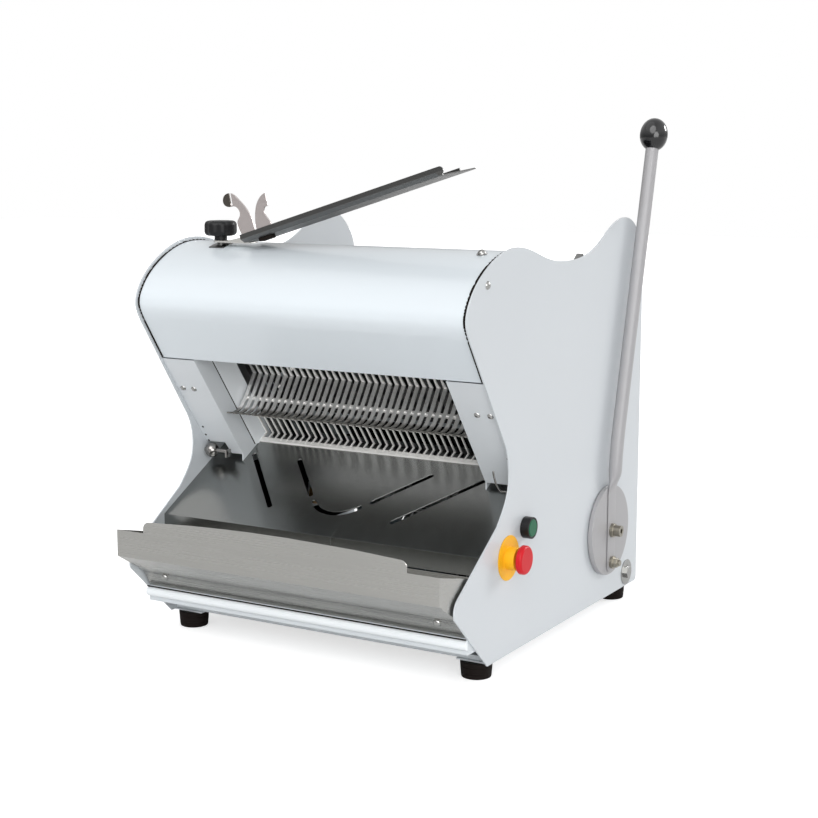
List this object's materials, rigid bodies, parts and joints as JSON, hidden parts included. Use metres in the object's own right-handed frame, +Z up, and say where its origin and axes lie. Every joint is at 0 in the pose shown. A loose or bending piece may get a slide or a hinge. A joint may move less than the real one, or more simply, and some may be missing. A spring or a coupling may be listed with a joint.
{
  "type": "bench bread slicer",
  "caption": "Bench bread slicer: white sheet body, reciprocating blade pack, stainless outfeed table and tray, hand feed lever and swivelling bag scoop.",
  "frame": {"origin": "on the floor the feet stand on, below the middle of the whole outline", "axes": "+X to the right seen from the front, +Y from the outfeed towards the back, +Z up"},
  "size_m": [0.6645, 0.7618, 0.8722],
  "materials": {
    "body_paint": "gloss white powder coat",
    "lever_paint": "pale grey enamel",
    "stainless": "brushed stainless sheet",
    "blade_steel": "ground blade steel",
    "bright_steel": "bright zinc-plated screws and pins",
    "machined_steel": "turned and milled steel",
    "bronze": "sintered bronze bush",
    "cast": "grey painted casting",
    "alloy": "milled aluminium",
    "guide_plastic": "natural nylon",
    "black_plastic": "black moulded plastic",
    "knob_plastic": "polished black plastic",
    "green_plastic": "green push button",
    "red_plastic": "red mushroom head",
    "yellow_plastic": "yellow stop collar and plate",
    "rubber": "black rubber"
  },
  "bodies": {
    "frame": {"side_panel_left": "body_paint", "side_panel_right": "body_paint", "hood": "body_paint", "blade_shroud": "stainless", "guard_left": "body_paint", "guard_right": "body_paint", "outfeed_table": "stainless", "outfeed_comb": "stainless", "front_tray": "stainless", "front_rail": "body_paint", "guide_blocks": "guide_plastic", "hold_down_shaft": "bright_steel", "crank_bearings": "cast", "drive_belt": "rubber", "motor_body": "cast", "motor_plate": "body_paint", "infeed_trough": "stainless", "pusher_rails": "bright_steel", "rail_blocks": "alloy", "feed_bushes": "bronze", "control_box": "black_plastic", "start_bezel": "black_plastic", "stop_collar": "yellow_plastic", "scoop_base": "bright_steel", "feet": "rubber", "crossbars": "body_paint", "rear_cover": "body_paint", "cable_gland": "black_plastic", "fasteners": "bright_steel", "wire_hooks": "bright_steel"},
    "hold_down": {"hold_down_comb": "stainless"},
    "front_blades": {"blade_frame_front": "machined_steel", "blades_front": "blade_steel", "wrist_pin_front": "bright_steel"},
    "rear_blades": {"blade_frame_rear": "machined_steel", "blades_rear": "blade_steel", "wrist_pin_rear": "bright_steel"},
    "front_rod": {"con_rod_front": "alloy"},
    "rear_rod": {"con_rod_rear": "alloy"},
    "crank": {"crankshaft": "machined_steel", "crank_pulley": "alloy"},
    "rotor": {"motor_shaft": "machined_steel", "motor_pulley": "alloy"},
    "feed_lever": {"feed_shaft": "machined_steel", "feed_arms": "machined_steel", "lever_disc": "lever_paint", "lever": "lever_paint", "lever_knob": "knob_plastic", "lever_bolts": "bright_steel"},
    "feed_pusher": {"pusher": "stainless", "pusher_carriages": "alloy"},
    "start": {"start_button": "green_plastic"},
    "stop_shank": {"stop_stem": "black_plastic"},
    "stop_head": {"stop_mushroom": "red_plastic"},
    "bag_scoop": {"scoop_hinge": "stainless", "scoop": "stainless", "scoop_horns": "stainless", "scoop_bumper": "rubber"},
    "scoop_clamp": {"clamp_knob": "black_plastic"},
    "crumb_drawer": {"crumb_tray": "stainless"}
  },
  "joints": [
    {"name": "hold_down_swing", "type": "hinge", "parent": "frame", "child": "hold_down", "pos_m": [-0.0182, -0.15215, 0.50562], "axis": [-1, 0, 0], "range_deg": [0, 40], "stiffness_Nm_per_rad": 1.5, "springref_deg": -40.11},
    {"name": "front_blades_slide", "type": "slide", "parent": "frame", "child": "front_blades", "axis": [0, -0.5948, 0.8039], "range_m": [-0.015, 0.015]},
    {"name": "rear_blades_slide", "type": "slide", "parent": "frame", "child": "rear_blades", "axis": [0, -0.5948, 0.8039], "range_m": [-0.015, 0.015]},
    {"name": "front_rod_swing", "type": "hinge", "parent": "front_blades", "child": "front_rod", "pos_m": [-0.0712, 0.05588, 0.26148], "axis": [1, 0, 0], "range_deg": [0, 17.3]},
    {"name": "rear_rod_swing", "type": "hinge", "parent": "rear_blades", "child": "rear_rod", "pos_m": [0.0348, 0.06874, 0.27099], "axis": [1, 0, 0], "range_deg": [-17.3, 0]},
    {"name": "crank_turn", "type": "hinge", "parent": "frame", "child": "crank", "pos_m": [-0.0182, 0.12183, 0.1858], "axis": [1, 0, 0], "continuous": true},
    {"name": "motor_turn", "type": "hinge", "parent": "frame", "child": "rotor", "pos_m": [-0.0182, -0.1122, 0.14], "axis": [1, 0, 0], "continuous": true},
    {"name": "lever_swing", "type": "hinge", "parent": "frame", "child": "feed_lever", "pos_m": [-0.0182, 0.21275, 0.15202], "axis": [1, 0, 0], "range_deg": [0, 34], "stiffness_Nm_per_rad": 6, "springref_deg": -114.59},
    {"name": "pusher_slide", "type": "slide", "parent": "frame", "child": "feed_pusher", "axis": [0, -0.8039, -0.5948], "range_m": [0, 0.2292]},
    {"name": "start_press", "type": "slide", "parent": "frame", "child": "start", "axis": [-1, 0, 0], "range_m": [0, 0.005], "stiffness_N_per_m": 400, "springref_m": -0.002},
    {"name": "stop_press", "type": "slide", "parent": "frame", "child": "stop_shank", "axis": [-1, 0, 0], "range_m": [0, 0.0055], "stiffness_N_per_m": 400, "springref_m": -0.002},
    {"name": "stop_release", "type": "hinge", "parent": "stop_shank", "child": "stop_head", "pos_m": [0.3158, -0.1702, 0.185], "axis": [1, 0, 0], "range_deg": [0, 45]},
    {"name": "scoop_swivel", "type": "hinge", "parent": "frame", "child": "bag_scoop", "pos_m": [-0.2402, -0.1922, 0.6645], "axis": [0, 0, 1], "range_deg": [-90, 90]},
    {"name": "clamp_turn", "type": "hinge", "parent": "frame", "child": "scoop_clamp", "pos_m": [-0.2402, -0.1922, 0.6645], "axis": [0, 0, 1], "range_deg": [0, 180]},
    {"name": "crumb_drawer_slide", "type": "slide", "parent": "frame", "child": "crumb_drawer", "axis": [0, 1, 0], "range_m": [0, 0.2]}
  ],
  "couplings": [
    {"joint": "rear_blades_slide", "follows": "front_blades_slide", "ratio": -1},
    {"joint": "motor_turn", "follows": "crank_turn", "ratio": 3.5556},
    {"joint": "pusher_slide", "follows": "lever_swing", "m_per_rad": 0.3859}
  ]
}
